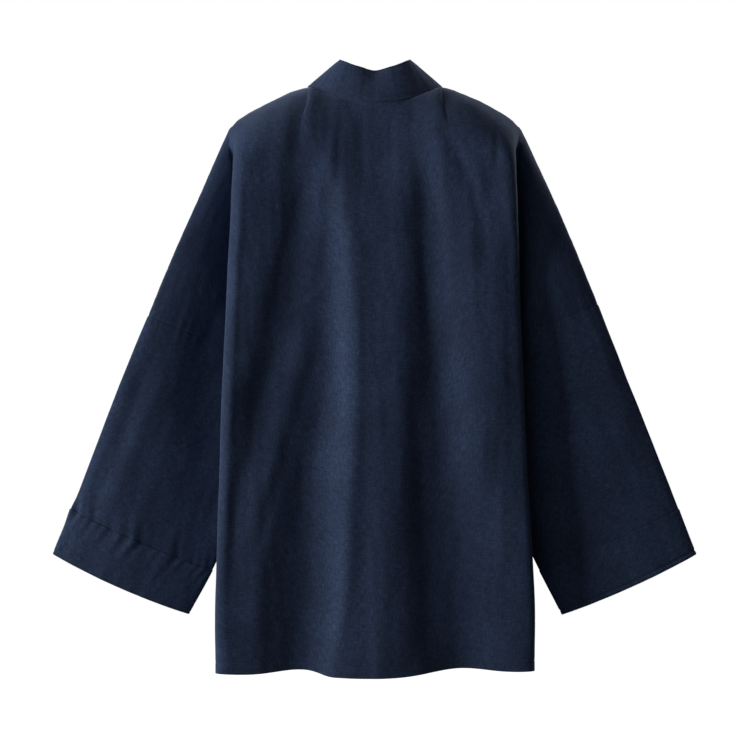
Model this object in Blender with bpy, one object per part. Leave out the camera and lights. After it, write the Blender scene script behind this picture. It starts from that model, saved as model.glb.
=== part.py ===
# A hip-length hanfu jacket in plain linen, filled out as worn, with no wearer inside.
# Units are metres with +Z up. The wearer faces +Y, so the back of the jacket is on the -Y side.
# The origin is the middle of the neck opening, level with the points where shoulder meets neck.
# Sizes below are millimetres, turned into metres by MM when a mesh is made.

import math
from collections import defaultdict

import bpy
from mathutils import Vector

MM = 0.001

# Cloth
CLOTH = 2.0
BAND_CLOTH = 3.0
SEAM_GAP = 0.3
LINEN_COLOUR = (0.024, 0.042, 0.095)
LINEN_ROUGHNESS = 0.9

# Neck opening and band
NECK_HALF_WIDTH = 85
NECK_BACK_DEPTH = 66
NECK_BACK_DROP = 26
NECK_CURVE = 2.5
BAND_WIDTH = 56
NECK_SHARE = 0.6

# Shoulder and armhole
RIDGE_TOP_OUT = 177
BACK_NECK_ROUND = 140
BACK_CORNER_ROUND = 66
BACK_ROUND_OUT = 130
FRONT_SHOULDER_ROUND = 180
ARMPIT_BELOW = 292
CREASE_RADIUS = 5
RIDGE_ROUND_PANEL = 0.07
RIDGE_ROUND_SIDE = 0.20
SIDE_BEND = 0.55

# Shares of the way down from the shoulder line to the armpit
RIDGE_SETTLED_BY = 1 / 6
COLUMNS_EVEN_BY = 0.5
FOLDED_BY = 0.3
CREASE_OPEN_BY = 0.35
CREASE_TIPS_FROM = 0.75

# Sleeve, measured along its outer edge from the shoulder corner
SLEEVE_LEAN = math.radians(21.9)
SLEEVE_LENGTH = 590
SLEEVE_BOW = 0.5
SLEEVE_TAPER = 0.12
SLEEVE_FLATTEN = 1.4
SLEEVE_FLAT_FROM = 120
UNDERARM_OUT = 170
UNDERARM_BEND = 20
CUFF_WIDTH = 189
CUFF_DEPTH = 61
CUFF_BOW = {(-1, -1): 4, (-1, 1): 4, (1, -1): 3, (1, 1): 8}
CUFF_SKEW = 9
SLEEVE_SEAM = {-1: 262, 1: 247}

# Hem
HEM_BELOW = 748
HEM_FOLD_DROP = 0.36
HEM_FOLD_MEAN = 8
HEM_CURVE = 3.5

SHARP_ANGLE = math.radians(50)

BACK = -1
FRONT = 1
SIDES = {"left": -1, "right": 1}


class Table:
    # Rows of sizes with named columns, read at any value of the first column on a smooth curve.

    def __init__(self, columns, rows):
        self.columns = columns.split()
        self.rows = rows

    def slope(self, index, column):
        before = self.rows[max(index - 1, 0)]
        after = self.rows[min(index + 1, len(self.rows) - 1)]
        return (after[column] - before[column]) / (after[0] - before[0])

    def at(self, name, key):
        column = self.columns.index(name)
        if key <= self.rows[0][0]:
            return self.rows[0][column]
        if key >= self.rows[-1][0]:
            return self.rows[-1][column]
        index = max(i for i, row in enumerate(self.rows) if row[0] <= key)
        start = self.rows[index]
        end = self.rows[index + 1]
        length = end[0] - start[0]
        t = (key - start[0]) / length
        first = self.slope(index, column) * length
        last = self.slope(index + 1, column) * length
        return (
            (2 * t ** 3 - 3 * t ** 2 + 1) * start[column]
            + (t ** 3 - 2 * t ** 2 + t) * first
            + (3 * t ** 2 - 2 * t ** 3) * end[column]
            + (t ** 3 - t ** 2) * last
        )


# Shoulder line from the neck point to the shoulder corner, as seen from behind.
SHOULDER = Table("out below", (
    (85, 0),
    (104, 6),
    (126, 15.5),
    (147, 26.5),
    (165, 36.5),
    (180, 46.5),
    (190, 56),
))
CORNER_OUT, CORNER_BELOW = SHOULDER.rows[-1]

# Body: how far back or forward its middle and its side ridges lie, and how far out the ridges
# and the side seams are, at heights below the neck point.
BODY_SIZES = (
    "below back_middle back_left back_right left_ridge right_ridge side_seam "
    "front_middle front_ridge"
)
BODY = Table(BODY_SIZES, (
    (45, 101, 92, 94, 174, 174, 160, 90, 74),
    (132, 108, 104, 108, 182, 179, 160, 104, 86),
    (244, 112, 108, 107, 191, 186, 160, 110, 93),
    (352, 113, 111, 106, 197, 191, 157, 112, 95),
    (500, 115, 115, 101, 203, 199, 157, 113, 96),
    (613, 116, 118, 97, 206, 206, 165, 115, 96),
    (670, 117, 119, 96, 207, 208, 174, 116, 95),
    (745, 118, 118, 96, 205, 206, 184, 118, 93),
))

# Sleeve sections, measured down the outer edge: how far the back and the front of the sleeve
# stand out from its edges, how far forward the edges lie, and by how much the outer edge lies
# further back than that and the underarm edge further forward.
SLEEVE_SIZES = "along back_depth front_depth forward tilt"
SLEEVE = {
    -1: Table(SLEEVE_SIZES, (
        (0, 30, 30, 0, 0),
        (90, 22, 58, -24, 11),
        (180, 16, 78, -42, 21),
        (266, 13, 84, -48, 23),
        (340, 13, 84, -49, 22),
        (420, 13, 80, -48, 18),
        (500, 12, 74, -46, 14),
        (550, 11, 69, -45, 12),
        (600, 10, 63, -44, 10),
    )),
    1: Table(SLEEVE_SIZES, (
        (0, 56, 30, 0, 0),
        (60, 46, 54, -26, 4),
        (120, 32, 74, -50, 8),
        (180, 22, 88, -64, 10),
        (266, 15, 93, -65, 9),
        (340, 13, 91, -62, 7),
        (420, 13, 85, -57, 6),
        (500, 12, 77, -52, 5),
        (550, 11, 71, -50, 5),
        (600, 10, 65, -48, 5),
    )),
}

# Front edge of each front, where the band is sewn on: distance from the middle.
FRONT_EDGE = Table("below out", (
    (0, 85),
    (42, 77),
    (100, 69),
    (180, 65),
    (292, 65),
    (500, 67),
    (745, 71),
))

# The band leans inwards, round the back of the neck by degrees from the middle and down the
# front by height: parts of its width that run inwards, forwards and upwards.
BAND_LEAN_BACK = Table("degrees inward upward", (
    (-20, 0.56, 0.83),
    (0, 0.64, 0.77),
    (20, 0.56, 0.83),
    (45, 0.57, 0.82),
    (70, 0.70, 0.665),
    (90, 0.75, 0.615),
))
BAND_LEAN = Table("below inward forward upward", (
    (0, 0.75, 0.02, 0.615),
    (20, 0.82, 0.20, 0.53),
    (60, 0.90, 0.24, 0.36),
    (120, 0.97, 0.16, 0.16),
    (200, 0.99, 0.08, 0.03),
    (745, 1.00, 0.06, 0.00),
))

# Folds down the back, left to right: place across, how far they stand out (less than 0 for a
# trough) and the reach of each flank.
BACK_FOLDS = (
    Table("below at rise left right", (
        (60, -94, -3, 12, 24),
        (105, -92, -6, 20, 28),
        (155, -90, -11, 28, 28),
        (205, -92, -13, 28, 30),
        (280, -106, -15, 28, 34),
        (343, -120, -16, 28, 36),
        (406, -143, -14, 22, 40),
        (468, -152, -7, 18, 30),
        (531, -170, -4, 12, 20),
        (656, -176, -2, 14, 20),
        (745, -176, 0, 14, 20),
    )),
    Table("below at rise left right", (
        (105, -58, 0, 12, 18),
        (155, -58, -4, 12, 18),
        (205, -58, -7, 16, 20),
        (280, -60, -14, 26, 22),
        (343, -62, -18, 30, 24),
        (406, -66, -24, 44, 26),
        (468, -77, -22, 42, 30),
        (531, -80, -20, 44, 34),
        (594, -81, -21, 48, 36),
        (656, -84, -21, 48, 38),
        (706, -88, -22, 48, 38),
        (745, -92, -22, 46, 36),
    )),
    Table("below at rise left right", (
        (110, -40, 0, 16, 18),
        (160, -42, 2, 16, 16),
        (205, -31, 3, 18, 14),
        (456, -29, 3, 14, 12),
        (556, -34, 3, 14, 12),
        (656, -41, 4, 14, 12),
        (745, -58, 4, 14, 14),
    )),
    Table("below at rise left right", (
        (60, 56, 0, 18, 20),
        (105, 60, -3, 18, 20),
        (155, 66, -7, 18, 18),
        (205, 68, -9, 20, 22),
        (280, 70, -11, 20, 26),
        (343, 74, -14, 24, 26),
        (406, 78, -16, 28, 28),
        (468, 83, -17, 36, 34),
        (531, 84, -20, 40, 50),
        (594, 90, -22, 46, 58),
        (656, 99, -22, 50, 60),
        (706, 104, -23, 52, 56),
        (745, 106, -23, 52, 52),
    )),
    Table("below at rise left right", (
        (110, 122, 0, 30, 24),
        (205, 132, 2, 34, 26),
        (280, 146, 4, 40, 26),
        (406, 155, 5, 36, 26),
        (468, 156, 1, 36, 24),
        (556, 160, 0, 30, 24),
    )),
    Table("below at rise left right", (
        (60, 168, 0, 24, 24),
        (110, 168, 3, 24, 24),
        (240, 170, 2, 24, 24),
        (340, 176, 0, 24, 24),
    )),
    Table("below at rise left right", (
        (60, -165, 0, 24, 24),
        (110, -165, 4, 26, 24),
        (240, -168, 3, 26, 24),
        (340, -176, 0, 24, 24),
    )),
)

# Folds down the fronts, in the same terms.
FRONT_FOLDS = (
    Table("below at rise left right", (
        (200, -118, 0, 26, 24),
        (380, -122, -9, 28, 30),
        (560, -130, -15, 32, 34),
        (745, -134, -19, 34, 38),
    )),
    Table("below at rise left right", (
        (160, 112, 0, 22, 26),
        (340, 118, -9, 26, 30),
        (540, 130, -15, 32, 32),
        (745, 128, -18, 36, 34),
    )),
)

# Troughs down each sleeve: place round the half section, 0 at the outer edge and 1 underarm.
SLEEVE_FOLDS = {
    (-1, BACK): Table("along at rise left right", (
        (150, 0.56, 0, 0.14, 0.12),
        (230, 0.60, -4, 0.14, 0.12),
        (320, 0.62, -6, 0.14, 0.14),
        (420, 0.70, -7, 0.18, 0.22),
        (500, 0.74, -6, 0.20, 0.22),
        (570, 0.78, 0, 0.20, 0.20),
    )),
    (1, BACK): Table("along at rise left right", (
        (180, 0.60, 0, 0.14, 0.16),
        (320, 0.62, -4, 0.14, 0.16),
        (450, 0.66, -6, 0.14, 0.18),
        (540, 0.70, -3, 0.14, 0.18),
        (580, 0.70, 0, 0.12, 0.14),
    )),
    (-1, FRONT): Table("along at rise left right", (
        (160, 0.52, 0, 0.14, 0.16),
        (330, 0.54, -6, 0.14, 0.16),
        (470, 0.58, -6, 0.12, 0.16),
        (570, 0.60, 0, 0.12, 0.12),
    )),
    (1, FRONT): Table("along at rise left right", (
        (150, 0.56, 0, 0.16, 0.14),
        (320, 0.52, -7, 0.16, 0.14),
        (460, 0.50, -6, 0.14, 0.14),
        (570, 0.48, 0, 0.12, 0.12),
    )),
}

# Mesh steps. A place down the cloth runs from 0 at the shoulder line to 1 at the armpit and 2
# at the hem. A place along it runs from 0 at the middle or the front edge to 1 at the side
# ridge, 2 at the side seam, 3 over the armhole crease and 4 at the sleeve seam.
ROWS_TO_ARMPIT = 12
ROWS_TO_HEM = 12
NECK_STEPS = 8
SHOULDER_STEPS = 6
RIDGE_STEPS = 3
SIDE_STEPS = 3
CREASE_STEPS = 4
UPPER_SLEEVE_STEPS = 6
SLEEVE_STEPS = 7
CUFF_STEPS = 2
BAND_STEPS = 3


def mix(start, end, amount):
    return start + (end - start) * amount


def ease(amount):
    amount = min(max(amount, 0), 1)
    return amount * amount * (3 - 2 * amount)


def fold_rise(fold, key, place):
    distance = place - fold.at("at", key)
    reach = fold.at("left" if distance < 0 else "right", key)
    return fold.at("rise", key) * math.exp(-(distance / reach) ** 2)


def share_to_armpit(down):
    return (1 - math.cos(math.pi * min(down, 1))) / 2


def below_at(top, down, hem):
    if down <= 1:
        return mix(top, ARMPIT_BELOW, share_to_armpit(down))
    return mix(ARMPIT_BELOW, hem, down - 1)


# Both ends of a sleeve section, on the outer edge and on the underarm edge. Above the sleeve
# seam the underarm ends gather towards the armpit, and below it sections lie square to the edge.
def outer_end(along):
    bow = SLEEVE_BOW * math.sin(math.pi * along / SLEEVE_LENGTH)
    return Vector((
        CORNER_OUT + along * math.sin(SLEEVE_LEAN) + bow,
        0,
        -CORNER_BELOW - along * math.cos(SLEEVE_LEAN),
    ))


def square_inner_end(along):
    outer = outer_end(along)
    flat = CUFF_WIDTH + SLEEVE_TAPER * (SLEEVE_LENGTH - along)
    free = (outer.x - UNDERARM_OUT) / math.cos(SLEEVE_LEAN)
    width = (flat + free - math.hypot(flat - free, UNDERARM_BEND)) / 2
    return outer - Vector((math.cos(SLEEVE_LEAN), 0, math.sin(SLEEVE_LEAN))) * width


def inner_end(side, along):
    seam = SLEEVE_SEAM[side]
    if along >= seam:
        return square_inner_end(along)
    armpit = Vector((UNDERARM_OUT, 0, -ARMPIT_BELOW))
    return armpit.lerp(square_inner_end(seam), along / seam)


def sleeve_point(side, face, along, down):
    bulge = max(math.sin(math.pi * down), 0)
    seam = SLEEVE_SEAM[side]
    skew = CUFF_SKEW * (1 - math.cos(math.pi * down)) / 2
    near_cuff = ease((along - seam) / (SLEEVE_LENGTH - seam))
    along += (CUFF_BOW[side, face] * bulge ** 2 + skew) * near_cuff
    outer = outer_end(along)
    inner = inner_end(side, along)
    point = (outer + inner) / 2 + (outer - inner) / 2 * math.cos(math.pi * down)
    sizes = SLEEVE[side]
    depth = sizes.at("back_depth" if face == BACK else "front_depth", along)
    depth += fold_rise(SLEEVE_FOLDS[side, face], along, down)
    if face == BACK:
        bulge = mix(bulge, bulge ** SLEEVE_FLATTEN, ease(along / SLEEVE_FLAT_FROM))
    tilt = sizes.at("tilt", along) * math.cos(math.pi * down)
    point.x *= side
    point.y = face * depth * bulge + sizes.at("forward", along) - tilt
    return point


# The deep crease between body and sleeve turns round a small radius. It points into the
# garment, and tips over into an arch at the armpit.
def crease_point(side, face, turn, down):
    point = sleeve_point(side, face, 0, down)
    radius = CREASE_RADIUS * ease(down / CREASE_OPEN_BY)
    tip = ease((down - CREASE_TIPS_FROM) / (1 - CREASE_TIPS_FROM)) * math.pi / 2
    reach = radius * math.sin(math.pi * turn)
    point.x -= side * radius * (1 + math.cos(math.pi * turn))
    point.y -= face * reach * math.cos(tip)
    point.z += reach * math.sin(tip)
    return point


# Top of a column: distance out, depth behind the shoulder line and drop below the neck point.
def column_top(face, across):
    if face == BACK and across < NECK_SHARE:
        angle = math.pi / 2 * across / NECK_SHARE
        share = math.sin(angle)
        drop = NECK_BACK_DROP * (1 - share ** NECK_CURVE)
        return NECK_HALF_WIDTH * share, NECK_BACK_DEPTH * math.cos(angle), drop
    start = NECK_SHARE if face == BACK else 0
    out = mix(NECK_HALF_WIDTH, RIDGE_TOP_OUT, (across - start) / (1 - start))
    return out, 0, SHOULDER.at("below", out)


def ridge_out(side, down):
    level = below_at(SHOULDER.at("below", RIDGE_TOP_OUT), down, HEM_BELOW)
    lower = BODY.at("left_ridge" if side < 0 else "right_ridge", level)
    return mix(RIDGE_TOP_OUT, lower, ease(share_to_armpit(down) / RIDGE_SETTLED_BY))


def panel_point(side, face, across, down):
    top_out, top_depth, top_below = column_top(face, across)
    level = below_at(top_below, down, HEM_BELOW)
    ridge = ridge_out(side, down)
    if face == BACK:
        middle, edge = "back_middle", "back_left" if side < 0 else "back_right"
        folds = BACK_FOLDS
        reach = mix(BACK_NECK_ROUND, BACK_CORNER_ROUND, ease(top_out / RIDGE_TOP_OUT))
        even = ease(share_to_armpit(down) / COLUMNS_EVEN_BY)
        out = ridge * mix(top_out / RIDGE_TOP_OUT, across, even)
        bend = 1 + ease(top_out / BACK_ROUND_OUT)
    else:
        middle, edge, folds, reach = "front_middle", "front_ridge", FRONT_FOLDS, FRONT_SHOULDER_ROUND
        out = mix(FRONT_EDGE.at("out", below_at(0, down, HEM_BELOW)), ridge, across)
        bend = 2
    left = 1 - min((level - top_below) / reach, 1)
    rounding = (1 - left ** 2) ** (1 / bend)
    rise = sum(fold_rise(fold, level, side * out) for fold in folds)
    depth = mix(BODY.at(middle, level), BODY.at(edge, level), (out / ridge) ** 2)
    depth = mix(top_depth, depth + rise, rounding)
    hem = HEM_BELOW + HEM_FOLD_DROP * (rise + HEM_FOLD_MEAN) + HEM_CURVE * (1 - 2 * (out / ridge) ** 2)
    return Vector((side * out, face * depth, -below_at(top_below, down, hem)))


# From the ridge the cloth runs inwards and round the side, to the crease above the armpit and
# to the side seam below it. At the shoulder line it has not yet folded.
def side_point(side, face, around, down):
    ridge = panel_point(side, face, 1, down)
    if down <= 1:
        end = crease_point(side, face, 0, down)
    else:
        level = below_at(0, down, HEM_BELOW)
        end = Vector((side * BODY.at("side_seam", level), 0, -level))
    bend = Vector((end.x, mix(end.y, ridge.y, SIDE_BEND), end.z))
    return ridge * (1 - around) ** 2 + bend * 2 * around * (1 - around) + end * around ** 2


def unfolded_share(down):
    return 1 - ease(down / FOLDED_BY)


def raw_point(side, face, place, down):
    if place <= 1:
        return panel_point(side, face, place, down)
    if place >= 3:
        return sleeve_point(side, face, (place - 3) * SLEEVE_SEAM[side], down)
    if place <= 2:
        folded = side_point(side, face, place - 1, down)
    else:
        folded = crease_point(side, face, place - 2, down)
    flat = panel_point(side, face, 1, down).lerp(sleeve_point(side, face, 0, down), (place - 1) / 2)
    return folded.lerp(flat, unfolded_share(down))


# The ridge is rounded between these places, which lie level with each other on back and front.
def ridge_start(face):
    return 1 - RIDGE_ROUND_PANEL / (1 if face == BACK else 1 - NECK_SHARE)


def body_point(side, face, place, down):
    start = ridge_start(face)
    end = 1 + RIDGE_ROUND_SIDE
    if not start < place < end:
        return raw_point(side, face, place, down)
    t = (place - start) / (end - start)
    first = raw_point(side, face, start, down)
    corner = raw_point(side, face, 1, down)
    last = raw_point(side, face, end, down)
    return first * (1 - t) ** 2 + corner * 2 * t * (1 - t) + last * t ** 2


# The band runs from one hem up the front edge, round the back of the neck and down again.
def band_point(side, face, place, down, share):
    base = body_point(side, face, place, down)
    if face == BACK:
        degrees = 90 * place / NECK_SHARE
        turn = math.radians(degrees)
        toward = Vector((-side * math.sin(turn) / NECK_HALF_WIDTH, math.cos(turn) / NECK_BACK_DEPTH, 0))
        lean = toward.normalized() * BAND_LEAN_BACK.at("inward", degrees)
        lean.z = BAND_LEAN_BACK.at("upward", degrees)
        return base + lean * BAND_WIDTH * share
    below = -base.z
    lean = Vector((
        -side * BAND_LEAN.at("inward", below),
        BAND_LEAN.at("forward", below),
        BAND_LEAN.at("upward", below),
    ))
    return base + lean * BAND_WIDTH * share


def steps(start, end, count):
    return [mix(start, end, index / count) for index in range(count + 1)]


def down_places():
    return steps(0, 1, ROWS_TO_ARMPIT) + steps(1, 2, ROWS_TO_HEM)[1:]


def across_places(face):
    start = ridge_start(face)
    end = 1 + RIDGE_ROUND_SIDE
    if face == BACK:
        places = steps(0, NECK_SHARE, NECK_STEPS) + steps(NECK_SHARE, start, SHOULDER_STEPS)[1:]
    else:
        places = steps(0, start, SHOULDER_STEPS)
    places += steps(start, end, RIDGE_STEPS)[1:]
    places += steps(end, 2, SIDE_STEPS)[1:]
    places += steps(2, 3, CREASE_STEPS)[1:]
    return places + steps(3, 4, UPPER_SLEEVE_STEPS)[1:]


class Piece:
    # One cut piece as a sheet of quads, before it gets its thickness.

    def __init__(self, name, thickness):
        self.name = name
        self.thickness = thickness
        self.points = []
        self.quads = []

    def add_grid(self, rows, flip=False, closed=False, skip=None):
        index = {}
        height = len(rows)
        width = len(rows[0])
        for i in range(height - 1):
            for j in range(width if closed else width - 1):
                cell = ((i, j), (i + 1, j), (i + 1, (j + 1) % width), (i, (j + 1) % width))
                if skip and skip(i, j):
                    continue
                for i_point, j_point in cell:
                    if (i_point, j_point) not in index:
                        index[i_point, j_point] = len(self.points)
                        self.points.append(rows[i_point][j_point])
                quad = [index[key] for key in cell]
                self.quads.append(quad[::-1] if flip else quad)


def make_body_piece(name, face, sides):
    columns = []
    for side in sides:
        places = across_places(face)
        if len(sides) == 2:
            places = places[::-1] if side < 0 else places[1:]
        columns += [(side, place) for place in places]
    rows = [
        [body_point(side, face, place, down) for side, place in columns]
        for down in down_places()
    ]

    def below_the_armpit_and_past_the_seam(i, j):
        reach = max(columns[j][1], columns[j + 1][1])
        return i >= ROWS_TO_ARMPIT and reach > 2

    piece = Piece(name, CLOTH)
    piece.add_grid(rows, flip=sides == (1,), skip=below_the_armpit_and_past_the_seam)
    return piece


def sleeve_ring(side, along):
    places = steps(0, 1, ROWS_TO_ARMPIT)
    back = [sleeve_point(side, BACK, along, down) for down in places]
    front = [sleeve_point(side, FRONT, along, down) for down in places[-2:0:-1]]
    return back + front


def make_sleeve(name, side, start, end, count, thickness):
    piece = Piece(name, thickness)
    rings = [sleeve_ring(side, along) for along in steps(start, end, count)]
    piece.add_grid(rings, flip=side > 0, closed=True)
    return piece


def make_collar():
    stations = []
    for side in SIDES.values():
        front = [(side, FRONT, 0, down) for down in down_places()[:0:-1]]
        back = [(side, BACK, place, 0) for place in steps(NECK_SHARE, 0, NECK_STEPS)]
        half = front + back
        stations += half if side < 0 else half[-2::-1]
    shares = steps(0, 1, BAND_STEPS)
    piece = Piece("collar", BAND_CLOTH)
    piece.add_grid([[band_point(*station, share) for share in shares] for station in stations])
    return piece


# The wall of each piece is laid out both ways from its sheet. Where pieces meet at a seam they
# share one direction there, so that their edges stay side by side.
def place_key(point):
    return tuple(round(value, 3) for value in point)


def shared_normals(pieces):
    normals = defaultdict(Vector)
    for piece in pieces:
        for quad in piece.quads:
            corners = [piece.points[index] for index in quad]
            area = (corners[2] - corners[0]).cross(corners[3] - corners[1])
            for corner in corners:
                normals[place_key(corner)] += area
    return {key: normal.normalized() for key, normal in normals.items()}


def boundary_edges(quads):
    ways = set()
    for quad in quads:
        for index, start in enumerate(quad):
            ways.add((start, quad[(index + 1) % 4]))
    return [(start, end) for start, end in ways if (end, start) not in ways]


def draw_back_edges(piece, edges, normals):
    inward = defaultdict(list)
    for start, end in edges:
        along = (piece.points[end] - piece.points[start]).normalized()
        for index in (start, end):
            away = normals[place_key(piece.points[index])].cross(along).normalized()
            inward[index].append(away)
    moved = [point.copy() for point in piece.points]
    for index, (first, second) in inward.items():
        moved[index] += (first + second) / (1 + first.dot(second)) * SEAM_GAP / 2
    return moved


def make_linen(name):
    material = bpy.data.materials.new(name)
    material.use_nodes = True
    shader = material.node_tree.nodes["Principled BSDF"]
    shader.inputs["Base Color"].default_value = (*LINEN_COLOUR, 1)
    shader.inputs["Roughness"].default_value = LINEN_ROUGHNESS
    shader.inputs["Metallic"].default_value = 0
    return material


def make_wall(piece, normals, collection):
    edges = boundary_edges(piece.quads)
    middle = draw_back_edges(piece, edges, normals)
    lift = [normals[place_key(point)] * piece.thickness / 2 for point in piece.points]
    count = len(middle)
    points = [(middle[i] + lift[i]) * MM for i in range(count)]
    points += [(middle[i] - lift[i]) * MM for i in range(count)]
    faces = list(piece.quads)
    faces += [[index + count for index in reversed(quad)] for quad in piece.quads]
    faces += [[end, start, start + count, end + count] for start, end in edges]
    mesh = bpy.data.meshes.new(piece.name)
    mesh.from_pydata(points, [], faces)
    mesh.materials.append(make_linen("linen_" + piece.name))
    mesh.shade_smooth()
    mesh.set_sharp_from_angle(angle=SHARP_ANGLE)
    wall = bpy.data.objects.new(piece.name, mesh)
    collection.objects.link(wall)
    return wall


def make_jacket():
    for item in list(bpy.data.objects):
        bpy.data.objects.remove(item, do_unlink=True)
    collection = bpy.data.collections.new("hanfu_jacket")
    bpy.context.scene.collection.children.link(collection)
    pieces = [make_body_piece("back", BACK, (-1, 1)), make_collar()]
    for name, side in SIDES.items():
        cuff = SLEEVE_LENGTH - CUFF_DEPTH
        pieces.append(make_body_piece("front_" + name, FRONT, (side,)))
        pieces.append(make_sleeve("sleeve_" + name, side, SLEEVE_SEAM[side], cuff, SLEEVE_STEPS, CLOTH))
        pieces.append(make_sleeve("cuff_" + name, side, cuff, SLEEVE_LENGTH, CUFF_STEPS, BAND_CLOTH))
    normals = shared_normals(pieces)
    for piece in pieces:
        make_wall(piece, normals, collection)


make_jacket()
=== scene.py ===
# Hanfu jacket in navy linen, filled out as worn, seen from behind.
# Sizes are millimetres unless a note says otherwise, turned into metres by mm.
import math

import bpy
import numpy as np
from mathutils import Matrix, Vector, noise


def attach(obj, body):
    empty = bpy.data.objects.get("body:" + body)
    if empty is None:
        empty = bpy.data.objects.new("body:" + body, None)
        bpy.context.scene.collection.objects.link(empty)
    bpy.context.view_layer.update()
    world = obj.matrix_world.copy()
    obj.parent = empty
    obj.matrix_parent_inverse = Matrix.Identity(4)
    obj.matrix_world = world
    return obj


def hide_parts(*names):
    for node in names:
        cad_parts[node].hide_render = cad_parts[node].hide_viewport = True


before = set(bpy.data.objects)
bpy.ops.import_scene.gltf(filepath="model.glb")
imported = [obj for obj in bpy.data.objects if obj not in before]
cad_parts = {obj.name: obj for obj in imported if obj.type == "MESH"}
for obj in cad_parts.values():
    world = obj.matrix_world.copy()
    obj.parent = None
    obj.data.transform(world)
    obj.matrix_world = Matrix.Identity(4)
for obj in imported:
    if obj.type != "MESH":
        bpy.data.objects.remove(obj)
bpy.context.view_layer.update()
mm = 0.001
back, front = -1, 1
sides = {"left": -1, "right": 1}
print("frame loaded,", len(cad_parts), "pieces")


# Small helpers for sizes
def table(names, *rows):
    return dict(zip(names.split(), np.array(rows, float).T))


def read(sizes, name, key):
    # a smooth curve through one column, held level past both ends
    keys = next(iter(sizes.values()))
    values = sizes[name]
    last = len(keys) - 1
    before = np.maximum(np.arange(last + 1) - 1, 0)
    after = np.minimum(np.arange(last + 1) + 1, last)
    slopes = (values[after] - values[before]) / (keys[after] - keys[before])
    key = np.clip(key, keys[0], keys[-1])
    i = np.clip(np.searchsorted(keys, key, side="right") - 1, 0, last - 1)
    length = keys[i + 1] - keys[i]
    t = (key - keys[i]) / length
    return ((2 * t ** 3 - 3 * t ** 2 + 1) * values[i] + (t ** 3 - 2 * t ** 2 + t) * slopes[i] * length
            + (3 * t ** 2 - 2 * t ** 3) * values[i + 1] + (t ** 3 - t ** 2) * slopes[i + 1] * length)


def mix(start, end, amount):
    return start + (end - start) * amount


def ease(amount):
    amount = np.clip(amount, 0, 1)
    return amount * amount * (3 - 2 * amount)


def points(x, y, z):
    return np.stack(np.broadcast_arrays(np.asarray(x, float), y, z), -1)


def unit(vectors):
    return vectors / np.maximum(np.linalg.norm(vectors, axis=-1, keepdims=True), 1e-9)


def gradedSteps(start, end, count, fineStart=0.0, fineEnd=0.0):
    # even steps, drawn together near an end where a seam or an edge needs them
    t = np.linspace(0, 1, count + 1)
    if fineStart and fineEnd:
        t = t - fineStart * np.sin(2 * np.pi * t) / (2 * np.pi)
    elif fineStart:
        t = t - fineStart * np.sin(np.pi * t) / np.pi
    elif fineEnd:
        t = t + fineEnd * np.sin(np.pi * t) / np.pi
    return mix(start, end, t)


# The jacket as worn, in the same sizes as its solids
neck = {"halfWidth": 85, "backDepth": 66, "backDrop": 26, "curve": 2.5, "share": 0.6, "bandWidth": 56,
        "bandUnder": 0.03}
shoulder = {"ridgeTop": 177, "backRound": (140, 66), "backRoundOut": 130, "frontRound": 180, "armpit": 292,
            "creaseRadius": 5, "roundPanel": 0.07, "roundSide": 0.20, "sideBend": 0.55,
            "ridgeSettled": 1 / 6, "columnsEven": 0.5, "folded": 0.3, "creaseOpen": 0.35, "creaseTips": 0.75}
sleeve = {"lean": math.radians(21.9), "length": 590, "bow": 0.5, "taper": 0.12, "underarmOut": 170,
          "underarmBend": 20, "flatten": 1.4, "flatFrom": 120, "cuffWidth": 189, "cuffDepth": 61,
          "cuffBow": {(-1, -1): 4, (-1, 1): 4, (1, -1): 3, (1, 1): 8}, "cuffSkew": 9,
          "seam": {-1: 262, 1: 247}}
hem = {"below": 748, "foldDrop": 0.36, "foldMean": 8, "curve": 3.5}

shoulderLine = table(
    "out below",
    (85, 0), (104, 6), (126, 15.5), (147, 26.5), (165, 36.5), (180, 46.5), (190, 56),
)
body = table(
    "below back_middle back_left back_right left_ridge right_ridge side_seam front_middle front_ridge",
    (45, 101, 92, 94, 174, 174, 160, 90, 74),
    (132, 108, 104, 108, 182, 179, 160, 104, 86),
    (244, 112, 108, 107, 191, 186, 160, 110, 93),
    (352, 113, 111, 106, 197, 191, 157, 112, 95),
    (500, 115, 115, 101, 203, 199, 157, 113, 96),
    (613, 116, 118, 97, 206, 206, 165, 115, 96),
    (670, 117, 119, 96, 207, 208, 174, 116, 95),
    (745, 118, 118, 96, 205, 206, 184, 118, 93),
)
sleeveSection = {
    -1: table("along back_depth front_depth forward tilt", (0, 30, 30, 0, 0), (90, 22, 58, -24, 11),
              (180, 16, 78, -42, 21), (266, 13, 84, -48, 23), (340, 13, 84, -49, 22), (420, 13, 80, -48, 18),
              (500, 12, 74, -46, 14), (550, 11, 69, -45, 12), (600, 10, 63, -44, 10)),
    1: table("along back_depth front_depth forward tilt", (0, 56, 30, 0, 0), (60, 46, 54, -26, 4),
             (120, 32, 74, -50, 8), (180, 22, 88, -64, 10), (266, 15, 93, -65, 9), (340, 13, 91, -62, 7),
             (420, 13, 85, -57, 6), (500, 12, 77, -52, 5), (550, 11, 71, -50, 5), (600, 10, 65, -48, 5)),
}
frontEdge = table("below out", (0, 85), (42, 77), (100, 69), (180, 65), (292, 65), (500, 67), (745, 71))
bandLeanBack = table(
    "degrees inward upward",
    (-20, 0.56, 0.83), (0, 0.64, 0.77), (20, 0.56, 0.83),
    (45, 0.57, 0.82), (70, 0.70, 0.665), (90, 0.75, 0.615),
)
bandLean = table(
    "below inward forward upward",
    (0, 0.75, 0.02, 0.615), (20, 0.82, 0.20, 0.53), (60, 0.90, 0.24, 0.36),
    (120, 0.97, 0.16, 0.16), (200, 0.99, 0.08, 0.03), (745, 1.00, 0.06, 0.00),
)
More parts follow.
